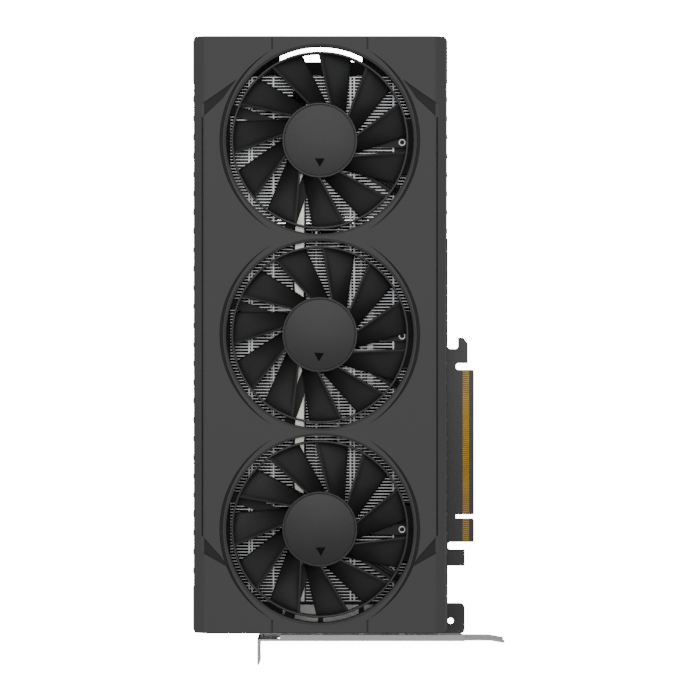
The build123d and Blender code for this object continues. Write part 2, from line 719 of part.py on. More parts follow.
# dark mounts that fill the fins' notches and take the fans' weight
mount_clear = 0.3
mount_top = spider_bottom
mount_screw = polar(fan_screw_reach, mount_arm_angle)
mount_spans = ((fin_x0 + 1, notch_x0 - mount_clear), (notch_x1 + mount_clear, fin_x1 - 0.5))
mount_length = fin_notch_up + fin_notch_down - fin_pitch - 2 * mount_clear
mount_screws = [(shroud_x + mount_screw[0], y + mount_screw[1]) for y in fan_ys]
with BuildPart() as mounts:
    with BuildSketch(Plane.XY.offset(fin_top - mount_height)):
        for x0, x1 in mount_spans:
            with Locations(*[((x0 + x1) / 2, y + (fin_notch_up - fin_notch_down) / 2) for y in fan_ys]):
                Rectangle(x1 - x0, mount_length)
    extrude(amount=mount_height - 0.4)
    with BuildSketch(Plane.XY.offset(fin_top - 2)):
        with Locations(*mount_screws):
            Circle(boss_radius)
    extrude(amount=mount_top - fin_top + 2)
    with BuildSketch(Plane.XY.offset(mount_top)):
        with Locations(*mount_screws):
            Circle(screw_shank_r)
    extrude(amount=-5, mode=Mode.SUBTRACT)
save(mounts, "fan_mounts")

# ================================================================ fans
tube_outer = bush_radius + tube_wall
magnet_outer = hub_radius - hub_wall
magnet_inner = magnet_outer - magnet_wall
hub_floor = 1.6  # thickness of the hub's front wall
bush_top = rotor_top - hub_floor - 0.8
counterbore = 0.8
channel_width, channel_depth = 2.2, 1.4
cable_radius = 0.6
blade_drop = 0.6  # blades stop short of the hoop's two rims


def blade_plane(radius, middle):
    """Plane square to the radius at an angle, with its X along the blade's chord."""
    outward = (cos(radians(middle)), sin(radians(middle)), 0)
    across = (-sin(radians(middle)), cos(radians(middle)), 0)
    x, y = polar(radius, middle)
    return Plane(origin=(x, y, (rotor_top + rotor_bottom) / 2), x_dir=across, z_dir=outward)


blade_start = hub_radius - hub_wall / 2
blade_end = rotor_radius - rotor_band / 2
rise = rotor_height / 2 - blade_drop
with BuildPart() as blade:
    for share in (0.0, 0.5, 1.0):
        radius = blade_start + (blade_end - blade_start) * share
        lead = blade_root_lead + (blade_tip_lead - blade_root_lead) * share
        trail = blade_root_trail + (blade_tip_trail - blade_root_trail) * share
        half_chord = radius * radians(lead - trail) / 2
        with BuildSketch(blade_plane(radius, (lead + trail) / 2)):
            with BuildLine():
                Polyline(
                    (half_chord, rise),
                    (half_chord, rise - blade_thickness),
                    (0, -blade_thickness),
                    (-half_chord, -rise),
                    (-half_chord, blade_thickness - rise),
                    (0, blade_thickness / 2),
                    close=True,
                )
            make_face()
    loft(ruled=True)

with BuildPart() as rotor:
    with BuildSketch(Plane.XY.offset(rotor_bottom)):
        Circle(rotor_radius)
        Circle(rotor_radius - rotor_band, mode=Mode.SUBTRACT)
    extrude(amount=rotor_height)
    with BuildSketch(Plane.XY.offset(rotor_bottom)):
        Circle(hub_radius)
    extrude(amount=rotor_height)
    chamfer(rotor.faces().filter_by(Plane.XY).sort_by(SortBy.AREA)[-1].outer_wire().edges(), hub_edge)
    with PolarLocations(0, blade_count):
        add(blade.part)
    with BuildSketch(Plane.XY.offset(rotor_bottom)):
        Circle(magnet_outer)
    extrude(amount=rotor_height - hub_floor, mode=Mode.SUBTRACT)
    with BuildSketch(Plane.XY.offset(rotor_top)):
        with Locations((0, -badge_offset)):
            RegularPolygon(badge_radius, 3, rotation=-90)
    extrude(amount=-badge_depth, mode=Mode.SUBTRACT)
    with BuildSketch(Plane.XY.offset(rotor_top - hub_floor)):
        Circle(tube_outer - 0.4)
    extrude(amount=-0.5)
    with BuildSketch(Plane.XY.offset(rotor_top - badge_depth - 0.5)):
        Circle(shaft_radius)
    extrude(amount=-hub_floor, mode=Mode.SUBTRACT)

with BuildPart() as badge:
    with BuildSketch(Plane.XY.offset(rotor_top - badge_depth)):
        with Locations((0, -badge_offset)):
            RegularPolygon(badge_radius, 3, rotation=-90)
    extrude(amount=badge_depth - 0.1)

with BuildPart() as shaft:
    with BuildSketch(Plane.XY.offset(spider_bottom + 0.4)):
        Circle(shaft_radius)
    extrude(amount=rotor_top - badge_depth - 0.5 - spider_bottom - 0.4)

with BuildPart() as magnet:
    with BuildSketch(Plane.XY.offset(rotor_bottom + 0.4)):
        Circle(magnet_outer)
        Circle(magnet_inner, mode=Mode.SUBTRACT)
    extrude(amount=rotor_height - hub_floor - 0.8)

with BuildPart() as bush:
    with BuildSketch(Plane.XY.offset(spider_bottom + 0.6)):
        Circle(bush_radius)
        Circle(shaft_radius + running_gap, mode=Mode.SUBTRACT)
    extrude(amount=bush_top - spider_bottom - 0.6)

with BuildPart() as stator:
    with BuildSketch(Plane.XY.offset(spider_top + 0.8)):
        Circle(tube_outer + 3.2)
        for angle in (0, 45, 90, 135):
            Rectangle(2 * (magnet_inner - motor_gap) - 1, 2.6, rotation=angle)
        Circle(magnet_inner - motor_gap)
        Circle(magnet_inner - motor_gap - 1.4, mode=Mode.SUBTRACT)
        for angle in (0, 45, 90, 135):
            Rectangle(2 * (magnet_inner - motor_gap) - 1, 2.6, rotation=angle)
        Circle(tube_outer + 3.2)
        for angle in (22.5, 67.5, 112.5, 157.5):
            Rectangle(2 * magnet_outer, 1.2, rotation=angle, mode=Mode.SUBTRACT)
        Circle(tube_outer + 3.2)
        Circle(tube_outer, mode=Mode.SUBTRACT)
    extrude(amount=bush_top - spider_top - 1.6)

with BuildPart() as spider:
    with BuildSketch(Plane.XY.offset(spider_bottom)):
        Circle(hub_radius)
        arms = [*zip(arm_angles, arm_reaches), (mount_arm_angle, fan_screw_reach)]
        for angle, reach in arms:
            with Locations(Rotation(0, 0, angle)):
                with Locations((reach / 2, 0)):
                    Rectangle(reach, arm_width)
            with Locations(polar(reach, angle)):
                Circle(arm_width / 2)
        with Locations(Rotation(0, 0, cable_arm_angle)):
            with Locations((cable_arm_reach / 2, 0)):
                Rectangle(cable_arm_reach, arm_width)
    extrude(amount=spider_thickness)
    with BuildSketch(Plane.XY.offset(spider_top)):
        Circle(tube_outer)
    extrude(amount=bush_top - 0.4 - spider_top)
    with BuildSketch(Plane.XY.offset(spider_bottom + 0.6)):
        Circle(bush_radius)
    extrude(amount=rotor_height, mode=Mode.SUBTRACT)
    with BuildSketch(Plane.XY.offset(spider_bottom + 0.35)):
        Circle(shaft_radius + 0.3)
    extrude(amount=1, mode=Mode.SUBTRACT)
    # the visible screw goes down into the mount, the other two go up into the shroud
    with BuildSketch(Plane.XY.offset(spider_top)):
        with Locations(mount_screw):
            Circle(fan_screw_head + 0.1)
    extrude(amount=-counterbore, mode=Mode.SUBTRACT)
    with BuildSketch(Plane.XY.offset(spider_bottom)):
        with Locations(*[polar(reach, angle) for angle, reach in zip(arm_angles, arm_reaches)]):
            Circle(fan_screw_head + 0.1)
    extrude(amount=counterbore, mode=Mode.SUBTRACT)
    with BuildSketch(Plane.XY.offset(spider_bottom)):
        with Locations(*[polar(reach, angle) for angle, reach in arms]):
            Circle(screw_shank_r)
    extrude(amount=spider_thickness, mode=Mode.SUBTRACT)
    # channel for the cable
    with BuildSketch(Plane.XY.offset(spider_top)):
        with Locations(Rotation(0, 0, cable_arm_angle)):
            with Locations(((hub_radius - 4 + cable_arm_reach + 1) / 2, 0)):
                Rectangle(cable_arm_reach + 1 - hub_radius + 4, channel_width)
    extrude(amount=-channel_depth, mode=Mode.SUBTRACT)

fan_pieces = {
    "rotor": rotor,
    "hub_badge": badge,
    "shaft": shaft,
    "magnet_ring": magnet,
    "bearing_bush": bush,
    "stator": stator,
    "spider": spider,
}
turning_pieces = ("rotor", "hub_badge", "magnet_ring")
for number, (fan_y, phase) in enumerate(zip(fan_ys, fan_phases), start=1):
    for piece_name, piece in fan_pieces.items():
        angle = phase if piece_name in turning_pieces else 0
        with BuildPart() as placed:
            add(piece.part.moved(Location((shroud_x, fan_y, 0), (0, 0, angle))))
        save(placed, f"fan_{number}_{piece_name}")

screws(mount_screws, spider_top - counterbore, True, "fan_mount_screws", head_r=fan_screw_head, shank=4.5, head_h=0.7)
screws(boss_places, spider_bottom + counterbore, False, "fan_arm_screws", head_r=fan_screw_head, shank=4.5, head_h=0.7)

# cables from the stators to the board, along the channelled arm and down beside the fins
plug_w, plug_l, plug_h = 5.0, 6.0, 4.5
cable_z = spider_top - channel_depth + cable_radius + 0.1
cable_drop_x = fin_x1 + 3.0
plug_top = board_top + plug_h
cable_bend = 2.5
plug_places = []
for number, fan_y in enumerate(fan_ys, start=1):
    start = polar(hub_radius - 2.5, cable_arm_angle)
    drop_x = cable_drop_x - shroud_x
    drop_y = fan_y + drop_x * start[1] / start[0]
    route = [(shroud_x + start[0], fan_y + start[1], cable_z), (cable_drop_x, drop_y, cable_z)]
    plug_y = min(drop_y - 1, board_tail_y - 8)
    if plug_y < drop_y - 10:
        # past the tail of the board, so the cable runs back beside the fins
        route += [(cable_drop_x + 2, drop_y - 4, plug_top + 12), (cable_drop_x + 1, plug_y, plug_top + 9)]
    route += [(cable_drop_x + 1, plug_y, plug_top)]
    plug_places.append(route[-1][:2])
    with BuildPart() as cable:
        with BuildLine() as path:
            FilletPolyline(*route, radius=cable_bend)
        with BuildSketch(Plane(origin=path.line @ 0, z_dir=path.line % 0)):
            Circle(cable_radius)
        sweep()
    save(cable, f"fan_{number}_cable")

with BuildPart() as plugs:
    with BuildSketch(Plane.XY.offset(board_top)):
        with Locations(*plug_places):
            Rectangle(plug_w, plug_l)
    extrude(amount=plug_h)
save(plugs, "fan_plugs")

# ================================================================ bracket and ports
port_xs = [port_first_x + port_pitch * n for n in range(port_count)]
port_z = board_top + port_height / 2
vent_x0, vent_x1 = flange_x + 6.5, plate_end_x - 7.0
vent_pitch, vent_width, vent_height = 4.6, 2.6, 18.0
vent_z = (board_top + port_height + bracket_top) / 2 - 0.5
vent_count = int((vent_x1 - vent_x0) // vent_pitch)
bend = 1.2  # how far the tongues lean outwards at their tips

with BuildPart() as io_bracket:
    with BuildSketch(Plane.XZ.offset(-inner_y)):
        with Locations((flange_x, bracket_bottom)):
            Rectangle(plate_end_x - flange_x, bracket_top - bracket_bottom, align=Align.MIN)
        with Locations(*[(x, port_z) for x in port_xs]):
            Rectangle(port_width + 2 * port_clear, port_height + 2 * port_clear, mode=Mode.SUBTRACT)
        with Locations(((vent_x0 + vent_x1) / 2, vent_z)):
            with GridLocations(vent_pitch, 1, vent_count, 1):
                SlotOverall(vent_height, vent_width, rotation=90, mode=Mode.SUBTRACT)
    extrude(amount=bracket_sheet)
    # screw flange, with a slot for each of the two case screws
    with BuildSketch(Plane.YZ.offset(flange_x)):
        with Locations((bracket_y, bracket_bottom)):
            Rectangle(flange_reach, bracket_top - bracket_bottom, align=(Align.MAX, Align.MIN))
        for n in range(2):
            notch_z = bracket_bottom + slot_pitch * n
            with Locations((bracket_y - flange_reach / 2 - 0.6, notch_z)):
                Rectangle(2 * notch_radius, 2 * notch_radius + 2.4, mode=Mode.SUBTRACT)
            with Locations((bracket_y - flange_reach / 2 - 0.6, notch_z + notch_radius + 1.2)):
                Circle(notch_radius, mode=Mode.SUBTRACT)
    extrude(amount=bracket_sheet)
    # tongues that drop into the case
    for n in range(2):
        tongue_z = bracket_bottom + slot_width / 2 + slot_pitch * n - tongue_width / 2
        with BuildSketch(Plane.XY.offset(tongue_z)):
            with BuildLine():
                Polyline(
                    (plate_end_x - 0.5, inner_y),
                    (tip_x - 7, inner_y),
                    (tip_x, inner_y - bend),
                    (tip_x, bracket_y - bend),
                    (tip_x - 7, bracket_y),
                    (plate_end_x - 0.5, bracket_y),
                    close=True,
                )
            make_face()
        extrude(amount=tongue_width)
    # folded lip along the edge nearest the fans
    with Locations((lip_start_x, inner_y - 0.1, bracket_top)):
        Box(plate_end_x - lip_start_x, lip_reach + 0.1, bracket_sheet, align=(Align.MIN, Align.MIN, Align.MAX))
    # tab that lies on the board
    with Locations((tab_x0, inner_y - 0.1, board_top)):
        Box(tab_x1 - tab_x0, tab_reach + 0.1, bracket_sheet, align=Align.MIN)
    with Locations(*[(x, y, board_top) for x, y in tab_screws]):
        Cylinder(screw_shank_r, 4, mode=Mode.SUBTRACT)
save(io_bracket, "io_bracket")
screws(tab_screws, board_top + bracket_sheet, True, "bracket_screws", shank=bracket_sheet + board_thickness)

tongue_reach = 10.0
for number, x in enumerate(port_xs, start=1):
    kind = "hdmi" if number == port_count else "displayport"
    with BuildPart() as shell:
        with BuildSketch(Plane.XZ.offset(-bracket_y)):
            with Locations((x, port_z)):
                Rectangle(port_width, port_height)
        extrude(amount=-port_depth)
        if kind == "hdmi":
            chamfer(shell.edges().filter_by(Axis.Y).group_by(Axis.Z)[0], 1.2)
        else:
            chamfer(shell.edges().filter_by(Axis.Y).group_by(Axis.Z)[0].sort_by(Axis.X)[-1:], 1.6)
        mouth = shell.faces().sort_by(Axis.Y)[0]
        offset(amount=-port_wall, openings=mouth)
    save(shell, f"{kind}_shell_{number}")

with BuildPart() as inserts:
    with Locations(*[(x, bracket_y + port_depth - port_wall, port_z) for x in port_xs]):
        Box(port_width - 5, tongue_reach, 1.4, align=(Align.CENTER, Align.MAX, Align.CENTER))
        Box(port_width - 3, 1.5, port_height - 3, align=(Align.CENTER, Align.MAX, Align.CENTER))
save(inserts, "port_tongues")

# ================================================================ power connectors
socket_size = 3.5
socket_floor = 2.0
pin_radius = 0.6
all_sockets = []
for number in range(1, power_count + 1):
    centre_y = power_y0 + power_width / 2 + power_pitch * (number - 1)
    socket_zs = [board_top + power_height / 2 + side * pin_pitch / 2 for side in (-1, 1)]
    sockets = [(centre_y + pin_pitch * (k - 1.5), z) for k in range(4) for z in socket_zs]
    all_sockets += sockets
    with BuildPart() as connector:
        with BuildSketch(Plane.YZ.offset(power_x0)):
            with Locations((centre_y, board_top)):
                Rectangle(power_width, power_height, align=(Align.CENTER, Align.MIN))
            with Locations(*sockets):
                Rectangle(socket_size, socket_size, mode=Mode.SUBTRACT)
        extrude(amount=power_depth - socket_floor)
        with BuildSketch(Plane.YZ.offset(power_x1 - socket_floor)):
            with Locations((centre_y, board_top)):
                Rectangle(power_width, power_height, align=(Align.CENTER, Align.MIN))
            with Locations(*sockets):
                Circle(pin_radius, mode=Mode.SUBTRACT)
        extrude(amount=socket_floor)
    save(connector, f"power_connector_{number}")

with BuildPart() as pins:
    with BuildSketch(Plane.YZ.offset(power_x0 + 3.0)):
        with Locations(*all_sockets):
            Circle(pin_radius)
    extrude(amount=power_depth - 3.0)
save(pins, "power_pins")
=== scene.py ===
"""Finishes, moulded fans and studio for a graphics card with three fans."""

import json
import logging
from dataclasses import dataclass, field
from enum import Enum
from math import cos, pi, radians, sin, sqrt

import bmesh
import bpy
from mathutils import Matrix, Vector


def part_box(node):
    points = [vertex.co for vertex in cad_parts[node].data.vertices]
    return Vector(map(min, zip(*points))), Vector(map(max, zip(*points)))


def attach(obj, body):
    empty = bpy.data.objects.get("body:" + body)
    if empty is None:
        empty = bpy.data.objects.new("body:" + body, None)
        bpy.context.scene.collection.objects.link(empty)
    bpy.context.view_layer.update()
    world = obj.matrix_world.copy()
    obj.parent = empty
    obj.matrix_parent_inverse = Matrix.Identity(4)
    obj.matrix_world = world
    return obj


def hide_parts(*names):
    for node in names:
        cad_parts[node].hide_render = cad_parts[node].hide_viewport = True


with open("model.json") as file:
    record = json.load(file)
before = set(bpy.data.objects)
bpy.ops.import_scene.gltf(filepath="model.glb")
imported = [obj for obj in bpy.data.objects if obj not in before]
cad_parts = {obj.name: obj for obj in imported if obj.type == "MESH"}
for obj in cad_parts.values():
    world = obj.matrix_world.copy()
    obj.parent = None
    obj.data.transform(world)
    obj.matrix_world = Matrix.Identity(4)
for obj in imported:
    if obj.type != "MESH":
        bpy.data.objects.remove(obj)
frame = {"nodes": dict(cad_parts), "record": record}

logging.basicConfig(level=logging.INFO, format="%(name)s: %(message)s")
log = logging.getLogger("graphics_card")

MM = 0.001
FAN_NUMBERS = (1, 2, 3)


def to_linear(code: str) -> tuple[float, float, float, float]:
    """Turns an sRGB hex colour into linear light.

    Args:
        code: six hex digits with a leading hash.

    Returns:
        Red, green, blue and an alpha of one.
    """
    channels = [int(code[i : i + 2], 16) / 255 for i in (1, 3, 5)]
    linear = [c / 12.92 if c <= 0.04045 else ((c + 0.055) / 1.055) ** 2.4 for c in channels]
    return (linear[0], linear[1], linear[2], 1.0)


def add_node(tree, kind: str, inputs: dict | None = None, links: dict | None = None, **settings):
    """Adds one shader node with its settings and links.

    Args:
        tree: the node tree that takes the node.
        kind: Blender's name for the kind of node.
        inputs: constant values by input name or number.
        links: source sockets by input name or number.
        **settings: attributes of the node itself.

    Returns:
        The new node.
    """
    node = tree.nodes.new(kind)
    for name, value in settings.items():
        setattr(node, name, value)
    for key, value in (inputs or {}).items():
        node.inputs[key].default_value = value
    for key, source in (links or {}).items():
        tree.links.new(source, node.inputs[key])
    return node


class Grain(Enum):
    """How a finish's fine relief runs."""

    EVEN = (1.0, 1.0, 1.0)
    ALONG_X = (0.03, 1.0, 1.0)
    ALONG_Y = (1.0, 0.03, 1.0)


@dataclass(frozen=True)
class Finish:
    """One real material as the eye sees it.

    Attributes:
        title: the material's common name and how its surface was made.
        colour: main sRGB colour.
        second: sRGB colour that the main one drifts towards.
        roughness: mean roughness.
        metallic: one for a metal.
        grain_mm: size of the fine relief.
        relief_mm: height of the fine relief.
        drift_mm: size of the slow changes of tone.
        spread: how far roughness drifts either way.
        coat: weight of a clear coat.
        ior: index of refraction, or None for the shader's own.
        grain: direction of the relief.
    """

    title: str
    colour: str
    second: str
    roughness: float
    metallic: float = 0.0
    grain_mm: float = 0.6
    relief_mm: float = 0.02
    drift_mm: float = 18.0
    spread: float = 0.05
    coat: float = 0.0
    ior: float | None = None
    grain: Grain = Grain.EVEN

    def material(self) -> bpy.types.Material:
        """Builds the material, or finds it if it was built before.

        Returns:
            The material.
        """
        known = bpy.data.materials.get(self.title)
        if known is not None:
            return known
        material = bpy.data.materials.new(self.title)
        material.use_nodes = True
        tree = material.node_tree
        shader = tree.nodes["Principled BSDF"]
        place = add_node(tree, "ShaderNodeTexCoord").outputs["Object"]
        self.tone(tree, shader, place)
        self.relief(tree, shader, place)
        shader.inputs["Metallic"].default_value = self.metallic
        if self.ior is not None:
            shader.inputs["IOR"].default_value = self.ior
        if self.coat:
            shader.inputs["Coat Weight"].default_value = self.coat
            shader.inputs["Coat Roughness"].default_value = 0.12
        return material

    def tone(self, tree, shader, place) -> None:
        """Links the slow drift of colour and roughness.

        Args:
            tree: the material's node tree.
            shader: its surface shader.
            place: the socket that gives the place on the object.
        """
        drift = add_node(
            tree, "ShaderNodeTexNoise", {"Scale": 1000 / self.drift_mm, "Detail": 3.0}, {"Vector": place}
        )
        ramp = add_node(tree, "ShaderNodeValToRGB", links={"Fac": drift.outputs["Fac"]})
        ramp.color_ramp.elements[0].position = 0.3
        ramp.color_ramp.elements[0].color = to_linear(self.colour)
        ramp.color_ramp.elements[1].position = 0.75
        ramp.color_ramp.elements[1].color = to_linear(self.second)
        tree.links.new(ramp.outputs["Color"], shader.inputs["Base Color"])
        rough = add_node(
            tree,
            "ShaderNodeMapRange",
            {"To Min": self.roughness - self.spread, "To Max": self.roughness + self.spread},
            {"Value": drift.outputs["Fac"]},
        )
        tree.links.new(rough.outputs["Result"], shader.inputs["Roughness"])

    def relief(self, tree, shader, place) -> None:
        """Links the fine relief of the surface.

        Args:
            tree: the material's node tree.
            shader: its surface shader.
            place: the socket that gives the place on the object.
        """
        stretched = add_node(tree, "ShaderNodeMapping", {"Scale": self.grain.value}, {"Vector": place})
        noise = add_node(
            tree,
            "ShaderNodeTexNoise",
            {"Scale": 1000 / self.grain_mm, "Detail": 2.0},
            {"Vector": stretched.outputs["Vector"]},
        )
        bump = add_node(
            tree,
            "ShaderNodeBump",
            {"Strength": 0.6, "Distance": self.relief_mm * MM},
            {"Height": noise.outputs["Fac"]},
        )
        tree.links.new(bump.outputs["Normal"], shader.inputs["Normal"])


@dataclass(frozen=True)
class PrintedBoard(Finish):
    """Glass-fibre laminate under a semi-gloss solder mask, with copper tracks that show as faint ridges.

    Attributes:
        track_mm: spacing of the tracks.
    """

    track_mm: float = 1.3

    def relief(self, tree, shader, place) -> None:
        """Links the ridges of the tracks, broken up into short runs.

        Args:
            tree: the material's node tree.
            shader: its surface shader.
            place: the socket that gives the place on the object.
        """
        turned = add_node(
            tree, "ShaderNodeMapping", {"Rotation": (0.0, 0.0, radians(90))}, {"Vector": place}
        )
        tracks = add_node(
            tree,
            "ShaderNodeTexBrick",
            {"Scale": 1.0, "Mortar Size": 0.12 * MM, "Brick Width": 9 * MM, "Row Height": self.track_mm * MM},
            {"Vector": turned.outputs["Vector"]},
        )
        bump = add_node(
            tree,
            "ShaderNodeBump",
            {"Strength": 0.5, "Distance": 0.04 * MM},
            {"Height": tracks.outputs["Fac"]},
        )
        tree.links.new(bump.outputs["Normal"], shader.inputs["Normal"])


# Moulded ABS with a fine spark-eroded texture: even, with hardly any gloss.
SHROUD_ABS = Finish(
    "moulded_abs_spark_eroded", "#494949", "#4b4b4b", 0.62, grain_mm=0.7, relief_mm=0.02, ior=1.5
)
# Glass-filled nylon from a polished mould: a soft broad sheen along each blade.
FAN_NYLON = Finish(
    "moulded_nylon_satin", "#262627", "#2c2c2d", 0.4, grain_mm=1.1, relief_mm=0.008, ior=1.53
)
# The same nylon in the frames under the fans, darker and duller because it is never polished.
FRAME_NYLON = Finish("moulded_nylon_dull", "#1d1d1e", "#232324", 0.6, relief_mm=0.015, ior=1.53)
# Powder coat on sheet steel: tiny orange peel.
BACKPLATE_PAINT = Finish(
    "powder_coated_steel", "#222223", "#272728", 0.5, grain_mm=0.9, relief_mm=0.03, ior=1.5
)
SOLDER_MASK = PrintedBoard("solder_mask_semi_gloss", "#2d2d2e", "#343435", 0.38, coat=0.2, ior=1.55)
# Electroplated hard gold: bright, with fine wipe marks.
HARD_GOLD = Finish(
    "electroplated_gold", "#a8842a", "#987424", 0.28, 1.0, 0.5, 0.005, 6.0, 0.08, grain=Grain.ALONG_X
)
# Nickel-plated rolled steel with the rolling direction just visible.
BRACKET_STEEL = Finish(
    "nickel_plated_rolled_steel", "#d6d6d4", "#c4c4c2", 0.24, 1.0, 0.5, 0.01, 12.0, 0.06, grain=Grain.ALONG_X
)
CONNECTOR_STEEL = Finish("tinned_stamped_steel", "#cfcfcd", "#b9b9b7", 0.3, 1.0, 0.8, 0.01, 5.0, 0.08)
CONNECTOR_NYLON = Finish("moulded_nylon_connector", "#161617", "#1d1d1e", 0.5, ior=1.53)
PIN_BRASS = Finish("tinned_brass", "#cfc6a8", "#bdb493", 0.3, 1.0, drift_mm=4.0)
# Zinc-plated cold-headed steel: a slightly mottled pale grey.
SCREW_STEEL = Finish("zinc_plated_steel", "#c3c5c8", "#9fa1a6", 0.32, 1.0, 0.4, 0.01, 2.5, 0.1)
# Mill-finish rolled aluminium, cut into fins.
FIN_ALUMINIUM = Finish(
    "rolled_aluminium_mill_finish", "#b9babc", "#a4a5a7", 0.36, 1.0,
    0.5, 0.01, 20.0, 0.08, grain=Grain.ALONG_X
)
# Copper under a thin nickel plate: warm pale grey, smooth from drawing.
PIPE_NICKEL = Finish(
    "nickel_plated_copper", "#d3d0ca", "#bcb8b0", 0.26, 1.0, 0.5, 0.006, 14.0, 0.06, grain=Grain.ALONG_Y
)
FRAME_ALUMINIUM = Finish("stamped_aluminium_anodised", "#57585a", "#4b4c4e", 0.45, 1.0)
CHIP_EPOXY = Finish(
    "moulded_epoxy_matte", "#262627", "#2f2f30", 0.6, grain_mm=0.3, relief_mm=0.01, ior=1.55
)
FERRITE = Finish("pressed_iron_powder", "#5a5a5c", "#6a6a6c", 0.7, grain_mm=0.4, relief_mm=0.03)
CAN_ALUMINIUM = Finish("drawn_aluminium_can", "#c8c8ca", "#b2b2b5", 0.35, 1.0)
DIE_SILICON = Finish("polished_silicon", "#74767c", "#5e6067", 0.12, 1.0, drift_mm=30.0)
PACKAGE_RESIN = Finish("laminate_green_resin", "#1f3b2a", "#254632", 0.4, ior=1.55)
PAD_SILICONE = Finish("filled_silicone_pad", "#8a8c98", "#9a9ca6", 0.8, grain_mm=0.5, relief_mm=0.05)
CABLE_PVC = Finish("extruded_pvc_black", "#141415", "#1b1b1c", 0.45, ior=1.53)
WINDING_COPPER = Finish("enamelled_copper_wire", "#b4602e", "#8f4519", 0.3, 1.0, 0.35, 0.08, 3.0)
MAGNET_RUBBER = Finish("bonded_ferrite_ring", "#2b2b2c", "#3a3a3b", 0.7, relief_mm=0.03)
BUSH_BRONZE = Finish("sintered_bronze", "#8c6b3c", "#7a5b30", 0.5, 1.0, 0.3, 0.03)
BADGE_LACQUER = Finish("soft_touch_black_paint", "#050505", "#080808", 0.6, relief_mm=0.004, ior=1.22)

# Painted shade: the black strips in the shroud's recesses and side bevels, and the black discs on the floors
# of the screw sockets, stand in for the shade and dark reflections there; duller than the mouldings around
# them.
PAINTED_SHADE_BLACK = Finish("painted_shade_black", "#1c1c1d", "#212122", 0.66, relief_mm=0.012, ior=1.5)

# corners of the black painted-shade slabs in the recessed facets: distance in from the shroud's side, and
# along it from the fan axis
UPPER_FACET = ((22.15, 29.3), (12.45, 22.4), (6.4, 18.1), (6.4, 11.0), (15.55, 20.2), (18.05, 23.9))
LOWER_FACET = ((18.25, -18.5), (6.4, -11.7), (6.4, -4.0), (14.35, -13.0))

FINISH_OF_SLOT: dict[str, Finish] = {
    "shroud_plastic": SHROUD_ABS,
    "fan_plastic": FAN_NYLON,
    "frame_plastic": FRAME_NYLON,
    "backplate_paint": BACKPLATE_PAINT,
    "solder_mask": SOLDER_MASK,
    "gold": HARD_GOLD,
    "bracket_steel": BRACKET_STEEL,
    "connector_steel": CONNECTOR_STEEL,
    "connector_plastic": CONNECTOR_NYLON,
    "pin_metal": PIN_BRASS,
    "screw_steel": SCREW_STEEL,
    "fin_aluminium": FIN_ALUMINIUM,
    "nickel": PIPE_NICKEL,
    "frame_aluminium": FRAME_ALUMINIUM,
    "chip_epoxy": CHIP_EPOXY,
    "ferrite": FERRITE,
    "capacitor_can": CAN_ALUMINIUM,
    "silicon": DIE_SILICON,
    "package_resin": PACKAGE_RESIN,
    "thermal_pad": PAD_SILICONE,
    "cable_sleeve": CABLE_PVC,
    "winding_copper": WINDING_COPPER,
    "magnet": MAGNET_RUBBER,
    "bearing_bronze": BUSH_BRONZE,
    "badge_lacquer": BADGE_LACQUER,
}


def dress_frame() -> None:
    """Gives every node of the frame the finish of its material slot."""
    for part in frame["record"]["subparts"]:
        finish = FINISH_OF_SLOT[part["material_slot"]]
        node = frame["nodes"][part["node"]]
        if not node.material_slots:
            node.data.materials.append(finish.material())
        for material_slot in node.material_slots:
            material_slot.material = finish.material()
        log.info("%s is finished in %s", part["node"], finish.title)


def deselect_all() -> None:
    """Leaves object mode with nothing selected."""
    if bpy.context.object is not None and bpy.context.object.mode != "OBJECT":
        bpy.ops.object.mode_set(mode="OBJECT")
    bpy.ops.object.select_all(action="DESELECT")


def bake_place(piece: bpy.types.Object) -> None:
    """Moves a piece's place, turn and scale into its mesh.

    Args:
        piece: a mesh object, wherever it stands.
    """
    deselect_all()
    piece.select_set(True)
    bpy.context.view_layer.objects.active = piece
    bpy.ops.object.transform_apply(location=True, rotation=True, scale=True)


def settle(
    piece: bpy.types.Object, name: str, finish: Finish, smooth_angle: float = 35.0
) -> bpy.types.Object:
    """Bakes a piece's place into its mesh, names it, dresses it and smooths it.

    Args:
        piece: a mesh object, wherever it stands.
        name: the piece's name.
        finish: its finish.
        smooth_angle: edges flatter than this many degrees are smoothed.

    Returns:
        The same object, at the origin.
    """
    bake_place(piece)
    bpy.ops.object.shade_smooth_by_angle(angle=radians(smooth_angle))
    piece.name = name
    piece.data.materials.clear()
    piece.data.materials.append(finish.material())
    return piece


def apply_modifiers(piece: bpy.types.Object) -> None:
    """Applies all of a piece's modifiers in order.

    Args:
        piece: the object that carries them.
    """
    deselect_all()
    piece.select_set(True)
    bpy.context.view_layer.objects.active = piece
    for modifier in list(piece.modifiers):
        bpy.ops.object.modifier_apply(modifier=modifier.name)


def join(pieces: list[bpy.types.Object]) -> bpy.types.Object:
    """Joins pieces into the first one.

    Args:
        pieces: the objects to join.

    Returns:
        The first object, which now holds them all.
    """
    deselect_all()
    for piece in pieces:
        piece.select_set(True)
    bpy.context.view_layer.objects.active = pieces[0]
    bpy.ops.object.join()
    return pieces[0]


def pick_faces(piece: bpy.types.Object, wanted) -> None:
    """Selects, in edit mode, the faces that a test accepts.

    Args:
        piece: the object being edited.
        wanted: takes a face and says whether it is picked.
    """
    bpy.ops.mesh.select_mode(type="FACE")
    bpy.ops.mesh.select_all(action="DESELECT")
    mesh = bmesh.from_edit_mesh(piece.data)
    for face in mesh.faces:
        face.select_set(bool(wanted(face)))
    bmesh.update_edit_mesh(piece.data)


